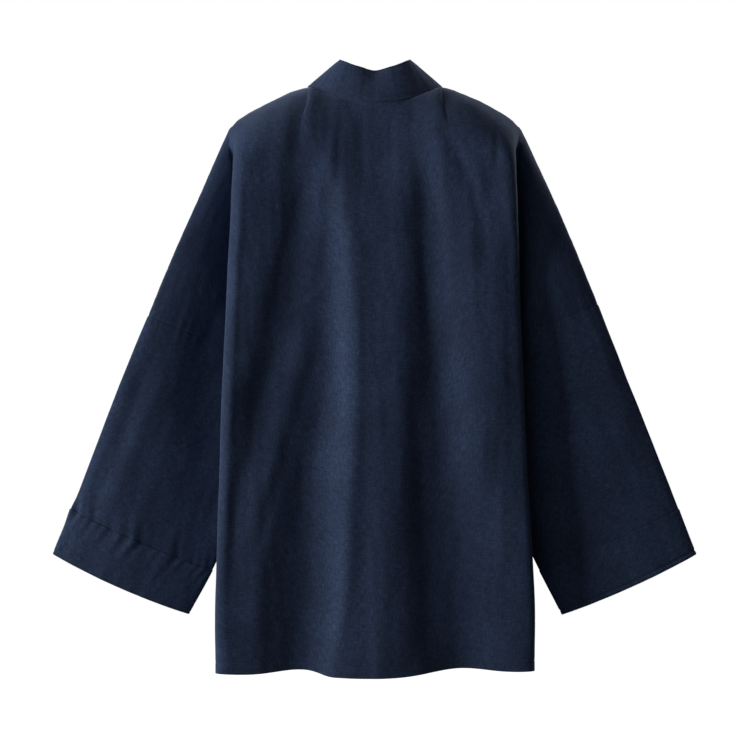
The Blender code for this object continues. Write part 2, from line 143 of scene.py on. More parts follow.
backFolds = (
    table("below at rise left right", (60, -94, -3, 12, 24), (105, -92, -6, 20, 28), (155, -90, -11, 28, 28),
          (205, -92, -13, 28, 30), (280, -106, -15, 28, 34), (343, -120, -16, 28, 36),
          (406, -143, -14, 22, 40), (468, -152, -7, 18, 30), (531, -170, -4, 12, 20),
          (656, -176, -2, 14, 20), (745, -176, 0, 14, 20)),
    table("below at rise left right", (105, -58, 0, 12, 18), (155, -58, -4, 12, 18), (205, -58, -7, 16, 20),
          (280, -60, -14, 26, 22), (343, -62, -18, 30, 24), (406, -66, -24, 44, 26), (468, -77, -22, 42, 30),
          (531, -80, -20, 44, 34), (594, -81, -21, 48, 36), (656, -84, -21, 48, 38), (706, -88, -22, 48, 38),
          (745, -92, -22, 46, 36)),
    table("below at rise left right", (110, -40, 0, 16, 18), (160, -42, 2, 16, 16), (205, -31, 3, 18, 14),
          (456, -29, 3, 14, 12), (556, -34, 3, 14, 12), (656, -41, 4, 14, 12), (745, -58, 4, 14, 14)),
    table("below at rise left right", (60, 56, 0, 18, 20), (105, 60, -3, 18, 20), (155, 66, -7, 18, 18),
          (205, 68, -9, 20, 22), (280, 70, -11, 20, 26), (343, 74, -14, 24, 26), (406, 78, -16, 28, 28),
          (468, 83, -17, 36, 34), (531, 84, -20, 40, 50), (594, 90, -22, 46, 58), (656, 99, -22, 50, 60),
          (706, 104, -23, 52, 56), (745, 106, -23, 52, 52)),
    table("below at rise left right", (110, 122, 0, 30, 24), (205, 132, 2, 34, 26), (280, 146, 4, 40, 26),
          (406, 155, 5, 36, 26), (468, 156, 1, 36, 24), (556, 160, 0, 30, 24)),
    table("below at rise left right", (60, 168, 0, 24, 24), (110, 168, 3, 24, 24), (240, 170, 2, 24, 24),
          (340, 176, 0, 24, 24)),
    table("below at rise left right", (60, -165, 0, 24, 24), (110, -165, 4, 26, 24), (240, -168, 3, 26, 24),
          (340, -176, 0, 24, 24)),
)
frontFolds = (
    table("below at rise left right", (200, -118, 0, 26, 24), (380, -122, -9, 28, 30),
          (560, -130, -15, 32, 34), (745, -134, -19, 34, 38)),
    table("below at rise left right", (160, 112, 0, 22, 26), (340, 118, -9, 26, 30),
          (540, 130, -15, 32, 32), (745, 128, -18, 36, 34)),
)
sleeveFolds = {
    (-1, back): table("along at rise left right", (150, 0.56, 0, 0.14, 0.12), (230, 0.60, -4, 0.14, 0.12),
                      (320, 0.62, -6, 0.14, 0.14), (420, 0.70, -7, 0.18, 0.22), (500, 0.74, -6, 0.20, 0.22),
                      (570, 0.78, 0, 0.20, 0.20)),
    (1, back): table("along at rise left right", (180, 0.60, 0, 0.14, 0.16), (320, 0.62, -4, 0.14, 0.16),
                     (450, 0.66, -6, 0.14, 0.18), (540, 0.70, -3, 0.14, 0.18), (580, 0.70, 0, 0.12, 0.14)),
    (-1, front): table("along at rise left right", (160, 0.52, 0, 0.14, 0.16), (330, 0.54, -6, 0.14, 0.16),
                       (470, 0.58, -6, 0.12, 0.16), (570, 0.60, 0, 0.12, 0.12)),
    (1, front): table("along at rise left right", (150, 0.56, 0, 0.16, 0.14), (320, 0.52, -7, 0.16, 0.14),
                      (460, 0.50, -6, 0.14, 0.14), (570, 0.48, 0, 0.12, 0.12)),
}
cornerOut, cornerBelow = shoulderLine["out"][-1], shoulderLine["below"][-1]


def foldRise(fold, key, place):
    distance = place - read(fold, "at", key)
    reach = np.where(distance < 0, read(fold, "left", key), read(fold, "right", key))
    return read(fold, "rise", key) * np.exp(-(distance / reach) ** 2)


# Places as on the solids. Down the cloth: 0 shoulder line, 1 armpit, 2 hem. Along it: 0 middle or
# front edge, 1 side ridge, 2 side seam, 3 over the armhole crease, 4 sleeve seam.
def shareToArmpit(down):
    return (1 - np.cos(np.pi * np.minimum(down, 1))) / 2


def belowAt(top, down, low):
    upper = mix(top, shoulder["armpit"], shareToArmpit(down))
    return np.where(down <= 1, upper, mix(shoulder["armpit"], low, down - 1))


def outerEnd(along):
    bow = sleeve["bow"] * np.sin(np.pi * along / sleeve["length"])
    out = cornerOut + along * math.sin(sleeve["lean"]) + bow
    return points(out, 0, -cornerBelow - along * math.cos(sleeve["lean"]))


def squareInnerEnd(along):
    outer = outerEnd(along)
    flat = sleeve["cuffWidth"] + sleeve["taper"] * (sleeve["length"] - along)
    free = (outer[..., 0] - sleeve["underarmOut"]) / math.cos(sleeve["lean"])
    width = (flat + free - np.hypot(flat - free, sleeve["underarmBend"])) / 2
    return outer - points(math.cos(sleeve["lean"]), 0, math.sin(sleeve["lean"])) * width[..., None]


def innerEnd(side, along):
    seam = sleeve["seam"][side]
    armpit = points(sleeve["underarmOut"], 0, -shoulder["armpit"])
    gathered = mix(armpit, squareInnerEnd(np.full_like(along, seam)), (along / seam)[..., None])
    return np.where((along >= seam)[..., None], squareInnerEnd(along), gathered)


def sleevePoint(side, face, along, down):
    bulge = np.maximum(np.sin(np.pi * down), 0)
    seam = sleeve["seam"][side]
    skew = sleeve["cuffSkew"] * (1 - np.cos(np.pi * down)) / 2
    nearCuff = ease((along - seam) / (sleeve["length"] - seam))
    along = along + (sleeve["cuffBow"][side, face] * bulge ** 2 + skew) * nearCuff
    outer, inner = outerEnd(along), innerEnd(side, along)
    spot = (outer + inner) / 2 + (outer - inner) / 2 * np.cos(np.pi * down)[..., None]
    sizes = sleeveSection[side]
    depth = read(sizes, "back_depth" if face == back else "front_depth", along)
    depth = depth + foldRise(sleeveFolds[side, face], along, down)
    if face == back:
        bulge = mix(bulge, bulge ** sleeve["flatten"], ease(along / sleeve["flatFrom"]))
    tilt = read(sizes, "tilt", along) * np.cos(np.pi * down)
    spot[..., 0] *= side
    spot[..., 1] = face * depth * bulge + read(sizes, "forward", along) - tilt
    return spot


def creasePoint(side, face, turn, down):
    spot = sleevePoint(side, face, np.zeros_like(down), down)
    radius = shoulder["creaseRadius"] * ease(down / shoulder["creaseOpen"])
    tip = ease((down - shoulder["creaseTips"]) / (1 - shoulder["creaseTips"])) * np.pi / 2
    reach = radius * np.sin(np.pi * turn)
    spot[..., 0] -= side * radius * (1 + np.cos(np.pi * turn))
    spot[..., 1] -= face * reach * np.cos(tip)
    spot[..., 2] += reach * np.sin(tip)
    return spot


def columnTop(face, across):
    if face == back and across < neck["share"]:
        angle = np.pi / 2 * across / neck["share"]
        share = math.sin(angle)
        below = neck["backDrop"] * (1 - share ** neck["curve"])
        return neck["halfWidth"] * share, neck["backDepth"] * math.cos(angle), below
    start = neck["share"] if face == back else 0
    out = mix(neck["halfWidth"], shoulder["ridgeTop"], (across - start) / (1 - start))
    return out, 0, float(read(shoulderLine, "below", out))


def ridgeOut(side, down):
    level = belowAt(read(shoulderLine, "below", shoulder["ridgeTop"]), down, hem["below"])
    lower = read(body, "left_ridge" if side < 0 else "right_ridge", level)
    return mix(shoulder["ridgeTop"], lower, ease(shareToArmpit(down) / shoulder["ridgeSettled"]))


def panelPoint(side, face, across, down):
    topOut, topDepth, topBelow = columnTop(face, across)
    level = belowAt(topBelow, down, hem["below"])
    ridge = ridgeOut(side, down)
    if face == back:
        middle, edge = "back_middle", "back_left" if side < 0 else "back_right"
        folds, reach = backFolds, mix(*shoulder["backRound"], ease(topOut / shoulder["ridgeTop"]))
        even = ease(shareToArmpit(down) / shoulder["columnsEven"])
        out = ridge * mix(topOut / shoulder["ridgeTop"], across, even)
        bend = 1 + ease(topOut / shoulder["backRoundOut"])
    else:
        middle, edge, folds, reach = "front_middle", "front_ridge", frontFolds, shoulder["frontRound"]
        out = mix(read(frontEdge, "out", belowAt(0, down, hem["below"])), ridge, across)
        bend = 2
    left = 1 - np.minimum((level - topBelow) / reach, 1)
    rounding = (1 - left ** 2) ** (1 / bend)
    rise = sum(foldRise(fold, level, side * out) for fold in folds)
    depth = mix(read(body, middle, level), read(body, edge, level), (out / ridge) ** 2)
    depth = mix(topDepth, depth + rise, rounding)
    low = hem["below"] + hem["foldDrop"] * (rise + hem["foldMean"])
    low = low + hem["curve"] * (1 - 2 * (out / ridge) ** 2)
    return points(side * out, face * depth, -belowAt(topBelow, down, low))


def sidePoint(side, face, around, down):
    ridge = panelPoint(side, face, 1, down)
    level = belowAt(0, down, hem["below"])
    seam = points(side * read(body, "side_seam", level), 0, -level)
    end = np.where((down <= 1)[..., None], creasePoint(side, face, 0, np.minimum(down, 1)), seam)
    bend = points(end[..., 0], mix(end[..., 1], ridge[..., 1], shoulder["sideBend"]), end[..., 2])
    return ridge * (1 - around) ** 2 + bend * 2 * around * (1 - around) + end * around ** 2


def rawPoint(side, face, place, down):
    if place <= 1:
        return panelPoint(side, face, place, down)
    if place >= 3:
        return sleevePoint(side, face, np.full_like(down, (place - 3) * sleeve["seam"][side]), down)
    if place <= 2:
        folded = sidePoint(side, face, place - 1, down)
    else:
        folded = creasePoint(side, face, place - 2, down)
    top = np.minimum(down, 1)
    opening = sleevePoint(side, face, np.zeros_like(down), top)
    flat = mix(panelPoint(side, face, 1, top), opening, (place - 1) / 2)
    return mix(folded, flat, (1 - ease(down / shoulder["folded"]))[..., None])


def ridgeStart(face):
    return 1 - shoulder["roundPanel"] / (1 if face == back else 1 - neck["share"])


def bodyPoint(side, face, place, down):
    start, end = ridgeStart(face), 1 + shoulder["roundSide"]
    if not start < place < end:
        return rawPoint(side, face, place, down)
    t = (place - start) / (end - start)
    first, corner, last = (rawPoint(side, face, spot, down) for spot in (start, 1, end))
    return first * (1 - t) ** 2 + corner * 2 * t * (1 - t) + last * t ** 2


# The pieces as grids of points, rows running down the cloth
meshSteps = {"toArmpit": 84, "toHem": 112, "neck": 36, "shoulder": 28, "ridge": 8, "side": 18, "crease": 8,
             "upperSleeve": 60, "sleeve": 90, "cuff": 40, "cuffRound": 120,
             "bandFront": 300, "bandNeck": 90, "band": 26}
near = 1e-6  # places closer than this are the same
downs = np.r_[gradedSteps(0, 1, meshSteps["toArmpit"]),
              gradedSteps(1, 2, meshSteps["toHem"], fineEnd=0.6)[1:]]


def acrossPlaces(face):
    start, end = ridgeStart(face), 1 + shoulder["roundSide"]
    if face == back:
        places = np.r_[gradedSteps(0, neck["share"], meshSteps["neck"]),
                       gradedSteps(neck["share"], start, meshSteps["shoulder"])[1:]]
    else:
        places = gradedSteps(0, start, meshSteps["shoulder"])
    return np.r_[places, gradedSteps(start, end, meshSteps["ridge"])[1:],
                 gradedSteps(end, 2, meshSteps["side"], fineEnd=0.75)[1:],
                 gradedSteps(2, 3, meshSteps["crease"])[1:],
                 gradedSteps(3, 4, meshSteps["upperSleeve"], fineEnd=0.75)[1:]]


class Cloth:
    # One cut piece: a grid of points in millimetres, with its place on the flat cloth in metres.
    def __init__(self, name, grid, flat, closed=False, used=None, flip=False):
        self.name, self.grid, self.flat = name, grid, flat
        rows, columns = grid.shape[:2]
        width = columns if closed else columns - 1
        i, j = np.meshgrid(np.arange(rows - 1), np.arange(width), indexing="ij")
        keep = np.ones(i.shape, bool) if used is None else used
        i, j = i[keep], j[keep]

        def corners(wide, after):
            row, below = i * wide, (i + 1) * wide
            found = np.stack([row + j, below + j, below + after, row + after], -1)
            return found[:, ::-1] if flip else found

        self.quads = corners(columns, (j + 1) % columns)
        self.flatCorners = corners(flat.shape[1], j + 1)

    def cloud(self):
        return self.grid.reshape(-1, 3)


def arcs(grid, axis):
    length = np.linalg.norm(np.diff(grid, axis=axis), axis=-1)
    zero = np.zeros_like(np.take(length, [0], axis=axis))
    return np.concatenate([zero, np.cumsum(length, axis=axis)], axis=axis)


def bodyHalf(face, side):
    # points, places on the flat cloth and the place value of each column, from the middle outwards
    places = acrossPlaces(face)
    capped = np.minimum(downs, 1)  # past the side seam the rows end at the armpit
    grid = np.stack([bodyPoint(side, face, place, capped if place > 2 else downs) for place in places], 1)
    along, down = arcs(grid, 1), arcs(grid, 0)
    ridge = np.argmin(abs(places - 1))
    across = along - along[:, [ridge]] + abs(grid[:, [ridge], 0])
    across[:, :ridge] = abs(grid[:, :ridge, 0])
    tops = np.array([columnTop(face, min(place, 1))[2] for place in places])
    return grid, np.stack([side * across, -(down + tops)], -1) * mm, places


def makeBodyPiece(name, face, sideValues):
    halves = [bodyHalf(face, side) for side in sideValues]
    places = halves[0][2]
    if len(halves) == 2:
        grid = np.concatenate([halves[0][0][:, ::-1], halves[1][0][:, 1:]], 1)
        flat = np.concatenate([halves[0][1][:, ::-1], halves[1][1][:, 1:]], 1)
        places = np.r_[places[::-1], places[1:]]
    else:
        grid, flat = halves[0][0], halves[0][1]
    beyond = np.maximum(places[:-1], places[1:]) > 2 + near
    used = ~(beyond[None, :] & (np.arange(len(downs) - 1) >= meshSteps["toArmpit"])[:, None])
    piece = Cloth(name, grid, flat, used=used, flip=tuple(sideValues) == (1,))
    piece.kind, piece.face, piece.places = "body", face, places
    return piece


def makeSleevePiece(name, side, alongs, around, kind):
    rings = []
    for along in alongs:
        ring = [sleevePoint(side, face, np.full_like(spots, along), spots)
                for face, spots in ((back, around), (front, around[-2:0:-1]))]
        rings.append(np.concatenate(ring))
    grid = np.stack(rings)
    looped = np.concatenate([grid, grid[:, :1]], 1)
    flat = np.stack([arcs(looped, 1), -arcs(looped, 0)], -1) * mm
    piece = Cloth(name, grid, flat, closed=True, flip=side > 0)
    piece.kind, piece.side = kind, side
    return piece


cuffStart = sleeve["length"] - sleeve["cuffDepth"]
cuffLap = 1.2  # the cuff covers the sleeve's end by this much
armSteps = downs[:meshSteps["toArmpit"] + 1]
cuffSteps = np.linspace(0, 1, meshSteps["cuffRound"] + 1)
cloths = {"back": makeBodyPiece("back", back, (-1, 1))}
for sideName, side in sides.items():
    cloths["front_" + sideName] = makeBodyPiece("front_" + sideName, front, (side,))
    alongs = gradedSteps(sleeve["seam"][side], cuffStart, meshSteps["sleeve"], 0.7, 0.7)
    cloths["sleeve_" + sideName] = makeSleevePiece("sleeve_" + sideName, side, alongs, armSteps, "sleeve")
    alongs = gradedSteps(cuffStart - cuffLap, sleeve["length"], meshSteps["cuff"], 0.5, 0.5)
    cloths["cuff_" + sideName] = makeSleevePiece("cuff_" + sideName, side, alongs, cuffSteps, "cuff")


def bandHalf(side):
    # from the hem up the front edge and round the back of the neck to its middle
    down = gradedSteps(2, 0, meshSteps["bandFront"])
    base = bodyPoint(side, front, 0, down)
    below = -base[:, 2]
    inward, forward, upward = (read(bandLean, name, below) for name in ("inward", "forward", "upward"))
    lean = points(-side * inward, forward, upward)
    places = gradedSteps(neck["share"], 0, meshSteps["bandNeck"])[1:]
    turned = [bodyPoint(side, back, place, np.zeros(1))[0] for place in places]
    degrees = 90 * places / neck["share"]
    turn = np.radians(degrees)
    toward = unit(points(-side * np.sin(turn) / neck["halfWidth"], np.cos(turn) / neck["backDepth"], 0))
    around = toward * read(bandLeanBack, "inward", degrees)[:, None]
    around[:, 2] = read(bandLeanBack, "upward", degrees)
    return np.concatenate([base, turned]), np.concatenate([lean, around])


bandShares = gradedSteps(-neck["bandUnder"], 1, meshSteps["band"], 0.5, 0.5)
leftBand, rightBand = bandHalf(-1), bandHalf(1)
bandBase = np.concatenate([leftBand[0], rightBand[0][-2::-1]])
bandWay = np.concatenate([leftBand[1], rightBand[1][-2::-1]])
bandGrid = bandBase[:, None] + bandWay[:, None] * bandShares[None, :, None] * neck["bandWidth"]
bandFlat = np.stack([arcs(bandGrid, 1), arcs(bandGrid, 0)], -1) * mm
cloths["collar"] = Cloth("collar", bandGrid, bandFlat)
cloths["collar"].kind = "collar"
print("cloth grids made:", sorted(cloths))


def sharedNormals(pieces, sameSpot=0.05):
    # one direction for each spot, also where two pieces meet at a seam
    spots = np.concatenate([piece.cloud() for piece in pieces])
    same = np.unique(np.round(spots / sameSpot).astype(np.int64), axis=0, return_inverse=True)[1].ravel()
    total = np.zeros((same.max() + 1, 3))
    start = 0
    for piece in pieces:
        quads = piece.quads + start
        corner = spots[quads]
        area = np.cross(corner[:, 2] - corner[:, 0], corner[:, 3] - corner[:, 1])
        for k in range(4):
            np.add.at(total, same[quads[:, k]], area)
        start += len(piece.cloud())
    every = unit(total)[same]
    start = 0
    for piece in pieces:
        count = len(piece.cloud())
        piece.normals = every[start:start + count].reshape(piece.grid.shape)
        start += count


sharedNormals([piece for piece in cloths.values() if piece.kind in ("body", "sleeve")])
for piece in cloths.values():
    if piece.kind in ("cuff", "collar"):
        sharedNormals([piece])

# Fine form: soft wrinkles, listed creases, seams and puckers. A wall is half the cloth's thickness.
wall = {"single": 0.4, "turned": 1.2, "cuff": {"half": 1.0, "round": 1.2, "least": 0.03},
        "band": {"half": 1.15, "round": 1.15, "least": 0.03}}
wrinkles = {"wide": {"size": 1.0, "across": 24, "deep": 40, "long": 120, "seed": 3},
            "fine": {"size": 0.4, "across": 9, "deep": 16, "long": 40, "seed": 11}}
seeds = {"seam": 23, "cuff": 31, "rib": 41, "slow": 47}
seamLook = {"groove": 0.7, "grooveWidth": 1.5, "pucker": 0.396, "puckerReach": 11, "puckerPitch": 6.5,
            "startsIn": 14, "armpitEnd": 2.9}
dropSeamLook = {"groove": 0.35, "grooveWidth": 1.6, "pucker": 0.72, "puckerReach": 14, "puckerPitch": 6.5}
ridgeRoll = {"depth": 0.8, "bulge": 1.4, "inside": 10, "reach": 6,
             "from": 70, "full": 200, "until": 560, "end": 740, "lost": 0.7}
hemLook = {"depth": 14, "groove": 0.35, "grooveWidth": 1.6,
           "pucker": 0.45, "puckerReach": 9, "puckerPitch": 9, "puckerLean": 0.2}


def noiseAt(spots, seed):
    moved = [Vector(spot) + Vector((seed, 0, 0)) for spot in spots.reshape(-1, 3)]
    return np.array([noise.noise(spot) for spot in moved]).reshape(spots.shape[:-1])


def softWrinkles(grid, onSleeve):
    # long soft wrinkles that follow the fall of the cloth: down the body, along the arm on the sleeves
    x, y, z = grid[..., 0], grid[..., 1], grid[..., 2]
    s = np.sign(x)
    cos, sin = math.cos(sleeve["lean"]), math.sin(sleeve["lean"])
    across = mix(x, x * cos + z * s * sin, onSleeve)
    along = mix(-z, x * s * sin - z * cos, onSleeve)
    total = 0
    for look in wrinkles.values():
        spots = points(across / look["across"], y / look["deep"], along / look["long"])
        total = total + look["size"] * noiseAt(spots, look["seed"])
    return total


# Creases placed where the photo shows them, as seen from behind, and similar ones on the
# hidden front. Depth below 0 is a trough. Each line bows sideways by "bow" at its middle. It fades
# out past its ends, keeps a low ridge or trough on both sides, and is lost where the cloth turns away.
creaseLook = {"past": 0.15, "fade": 0.35, "banks": 0.45, "banksWide": 2.4, "facing": (1.6, 0.3)}
creaseNames = "x0 z0 x1 z1 bow width depth"
handCreases = {
    back: table(
        creaseNames,
        (-43, -48, -45, -130, 1, 5, -0.9), (-29, -55, -30, -120, -1, 4, 0.7),
        (-16, -50, -14, -125, 1, 5, -0.7), (4, -60, 6, -118, 1, 4, 0.6),
        (20, -52, 22, -120, 0, 5, -0.7), (8, -146, 24, -128, 1, 3, -0.8),
        (84, -50, 112, -110, 6, 9, -1.5), (112, -110, 138, -240, -5, 9, -1.7),
        (152, -50, 153, -110, 0, 4, -1.0), (150, -52, 160, -72, 1, 3, 0.7),
        (-178, -60, -172, -96, 2, 5, 1.6), (-60, -70, -84, -190, 3, 8, -0.9),
        (-186, -352, -150, -330, 3, 4, -0.9), (182, -395, 150, -360, 2, 4, -0.8),
        (-288, -368, -367, -566, 0, 11, -1.7), (-80, -110, -133, -333, 6, 9, -1.3),
        (-71, -333, -150, -602, 0, 10, -1.6), (52, -377, 68, -735, 0, 15, -3.2),
        (-24, -230, -30, -500, 0, 8, -1.0),
        (-120, -300, -60, -260, 6, 7, 0.8), (60, -200, 70, -330, 2, 6, -1.0),
    ),
    front: table(
        creaseNames,
        (-92, -45, -80, -150, 4, 8, -1.8), (95, -50, 86, -160, -4, 8, -1.6),
        (-130, -60, -150, -180, -5, 7, -1.4), (128, -60, 148, -200, 5, 7, -1.5),
        (-160, -340, -110, -300, 4, 6, -1.0), (158, -360, 112, -310, -4, 6, -1.0),
        (-84, -400, -92, -640, 3, 9, -1.2), (88, -380, 96, -650, -3, 9, -1.2),
    ),
}


def handFolds(grid, face, normals):
    total = np.zeros(grid.shape[:2])
    x, z = grid[..., 0], grid[..., 2]
    rows = handCreases[face]
    for x0, z0, x1, z1, bow, width, depth in zip(*(rows[name] for name in creaseNames.split())):
        length = math.hypot(x1 - x0, z1 - z0)
        dx, dz = (x1 - x0) / length, (z1 - z0) / length
        t = ((x - x0) * dx + (z - z0) * dz) / length
        off = (x - x0) * dz - (z - z0) * dx - bow * 4 * np.clip(t, 0, 1) * (1 - np.clip(t, 0, 1))
        past, reach = creaseLook["past"], creaseLook["fade"]
        fade = ease((t + past) / reach) * ease((1 + past - t) / reach)
        banks = creaseLook["banks"] * np.exp(-(off / (creaseLook["banksWide"] * width)) ** 2)
        total += depth * (np.exp(-(off / width) ** 2) - banks) * fade
    gain, start = creaseLook["facing"]
    return total * ease(abs(normals[..., 1]) * gain - start)


def groove(distance, look=seamLook):
    return -look["groove"] * np.exp(-(distance / look["grooveWidth"]) ** 2)


def pucker(seamSpots, distance, look=seamLook):
    # small gathers that start at the seam and die out; the same on both of its sides
    gathers = look["pucker"] * noiseAt(seamSpots / look["puckerPitch"], seeds["seam"])
    return gathers * np.exp(-distance / look["puckerReach"])


def bodyDetail(piece):
    grid = piece.grid
    columns = piece.places
    down = downs[:, None]
    onSleeve = np.broadcast_to(ease(columns - 2), grid.shape[:2])
    detail = softWrinkles(grid, onSleeve) + handFolds(grid, piece.face, piece.normals)
    fromTop, toHem = arcs(grid, 0), arcs(grid[::-1], 0)[::-1]
    onSeam = columns >= (neck["share"] if piece.face == back else 0)
    detail += np.where(onSeam, groove(fromTop) + pucker(grid[:1], fromTop), 0)
    # drop seams at the ends of the upper sleeves
    row = arcs(grid, 1)
    ends = [(row[:, [-1]] - row, grid[:, -1:])]
    if piece.face == back:
        ends.append((row, grid[:, :1]))
    for distance, spots in ends:
        detail += groove(distance, dropSeamLook) + pucker(spots, distance, dropSeamLook)
    # side seams below the armpit and underarm seams
    for middle in np.flatnonzero(abs(columns - 2) < near):
        distance = abs(row - row[:, [middle]])
        detail += groove(distance) * ease((down - 1) * seamLook["startsIn"]) * (columns <= 2 + near)
    if piece.face == back:
        # the left edge of the back rolls softly away to the side
        ridge = np.argmin(abs(columns[:len(columns) // 2] - 1))
        below = -grid[..., 2]
        strength = ease((below - ridgeRoll["from"]) / (ridgeRoll["full"] - ridgeRoll["from"]))
        fade = ease((below - ridgeRoll["until"]) / (ridgeRoll["end"] - ridgeRoll["until"]))
        strength *= 1 - ridgeRoll["lost"] * fade
        inside = row - row[:, [ridge]]
        roll = ridgeRoll["bulge"] * np.exp(-((inside - ridgeRoll["inside"]) / ridgeRoll["reach"]) ** 2)
        roll -= ridgeRoll["depth"] * np.exp(-(inside / ridgeRoll["reach"]) ** 2)
        detail += roll * strength * (grid[..., 0] < 0)
    under = fromTop[[meshSteps["toArmpit"]]] - fromTop
    detail += groove(np.maximum(under, 0)) * (columns > seamLook["armpitEnd"]) * (down <= 1)
    # turned hem with its line of sewing
    gathers = pucker(grid[-1:] * [1, 1, hemLook["puckerLean"]], abs(toHem - hemLook["depth"]), hemLook)
    atHem = (columns <= 2 + near) * (down > 1)
    detail += (groove(toHem - hemLook["depth"], hemLook) + gathers) * atHem
    piece.outward = np.full(grid.shape[:2], wall["single"])
    piece.inward = np.where((toHem < hemLook["depth"]) & (down > 1), wall["turned"], wall["single"])
    return detail


# Gathers at the seam of each cuff, and its line of sewing, "edge" from the open end
cuffSeam = {-1: {"size": 2.7, "reach": 20, "pitch": 9.5, "slant": 0.3, "step": 0.2,
                 "edge": 3.5, "groove": 0.4, "grooveWidth": 1.3},
            1: {"size": 0.45, "reach": 12, "pitch": 7.5, "slant": -0.1, "step": 0.1,
                "edge": 6, "groove": 0.9, "grooveWidth": 1.3}}
cuffJoin = {"groove": 0.5, "grooveWidth": 2}


def slantedPucker(piece, seamRow, distance, look):
    ring = noiseAt(piece.grid[seamRow] / look["pitch"], seeds["cuff"])
    lengths = arcs(np.concatenate([piece.grid[[seamRow]], piece.grid[[seamRow], :1]], 1), 1)[0]
    whole, spots = lengths[-1], lengths[:-1]
    at = (spots[None, :] + look["slant"] * distance) % whole
    wave = np.interp(at, lengths, np.r_[ring, ring[0]])
    return look["size"] * wave * np.exp(-(distance / look["reach"]) ** 1.3)


def roundedEdge(toEdge, look):
    left = np.clip(1 - toEdge / look["round"], 0, 1)
    return look["half"] * np.sqrt(np.clip(1 - left ** 2, look["least"], 1))


def sleeveDetail(piece):
    grid, look = piece.grid, cuffSeam[piece.side]
    fromTop, toEnd = arcs(grid, 0), arcs(grid[::-1], 0)[::-1]
    detail = softWrinkles(grid, np.ones(grid.shape[:2]))
    half = grid.shape[1] // 2
    detail[:, :half] += handFolds(grid, back, piece.normals)[:, :half]
    if piece.kind == "sleeve":
        detail += groove(fromTop, dropSeamLook) + pucker(grid[:1], fromTop, dropSeamLook)
        detail += groove(toEnd, cuffJoin) + slantedPucker(piece, -1, toEnd, look)
        piece.outward = np.full(grid.shape[:2], wall["single"])
    else:
        detail += slantedPucker(piece, 0, fromTop, look) + look["step"]
        detail += groove(toEnd - look["edge"], look)
        piece.outward = roundedEdge(toEnd, wall["cuff"])
    piece.inward = piece.outward
    return detail


# The band's ribs stand out round the neck and fade down the fronts, and towards its top edge. They
# are spaced along one column near its middle.
bandLook = {"column": 12, "rib": 0.756, "ribPitch": 5.6, "ribFront": 0.35, "ribTop": 0.45,
            "neckFrom": 40, "neckFade": 60, "neckFront": 20, "slow": 0.5, "slowPitch": 30,
            "lift": 0.7, "crown": 0.25, "crownFrom": 4, "edge": 4.0, "groove": 0.3, "grooveWidth": 1.1}


def bandDetail(piece):
    grid = piece.grid
    share = bandShares[None, :]
    width = neck["bandWidth"]
    y, z = grid[:, [0], 1], grid[:, [0], 2]
    roundNeck = ease((bandLook["neckFrom"] + z) / bandLook["neckFade"]) * (y < bandLook["neckFront"])
    along = arcs(grid, 0)[:, [bandLook["column"]]]
    ribs = noiseAt(points(along / bandLook["ribPitch"], 0, 0.5), seeds["rib"]) * np.ones_like(share)
    slow = noiseAt(points(along / bandLook["slowPitch"], share * 2, 1.5), seeds["slow"])
    fade = mix(bandLook["ribFront"], 1.0, roundNeck) * mix(1.0, bandLook["ribTop"], share)
    detail = bandLook["rib"] * ribs * fade + bandLook["slow"] * slow + bandLook["lift"]
    for edge in (bandLook["edge"], width - bandLook["edge"]):
        detail = detail + groove(share * width - edge, bandLook)
    inside = (share * width - bandLook["crownFrom"]) / (width - 2 * bandLook["crownFrom"])
    puff = bandLook["crown"] * np.sin(np.pi * np.clip(inside, 0, 1)) ** 0.5
    piece.outward = (roundedEdge((1 - share) * width, wall["band"]) + puff) * np.ones(grid.shape[:2])
    piece.inward = piece.outward
    return detail


details = {"body": bodyDetail, "sleeve": sleeveDetail, "cuff": sleeveDetail, "collar": bandDetail}
for piece in cloths.values():
    piece.middle = piece.grid + piece.normals * details[piece.kind](piece)[..., None]
print("fine form added")


# Materials. Colours are sRGB hex, turned to linear by one function.
def colour(code):
    parts = [int(code[i:i + 2], 16) / 255 for i in (1, 3, 5)]
    return [part / 12.92 if part <= 0.04045 else ((part + 0.055) / 1.055) ** 2.4 for part in parts] + [1]


def addNode(material, kind, inputs, **settings):
    made = material.node_tree.nodes.new(kind)
    for name, value in settings.items():
        setattr(made, name, value)
    for name, value in inputs.items():
        if isinstance(value, bpy.types.NodeSocket):
            material.node_tree.links.new(value, made.inputs[name])
        else:
            made.inputs[name].default_value = value
    return made


# Midweight linen, plain weave, piece-dyed navy and washed: matt, with slubs in both thread
# directions that catch a little more or less light than their neighbours.
linen = {"base": "#2B3A56", "slub": "#3B4D70", "shade": "#1F2A45", "shadeBelow": 0.36, "slubAbove": 0.64,
         "thread": 0.9, "slubWide": 1.6, "slubLong": 9, "mottle": 60, "slubShare": 0.4, "mottleShare": 0.2,
         "bump": 0.12, "bumpStrength": 0.8, "weaveShare": 0.35, "roughness": 0.88, "specular": 0.3,
         "sheen": 0.5, "sheenRoughness": 0.4, "sheenTint": "#A9BBDD"}


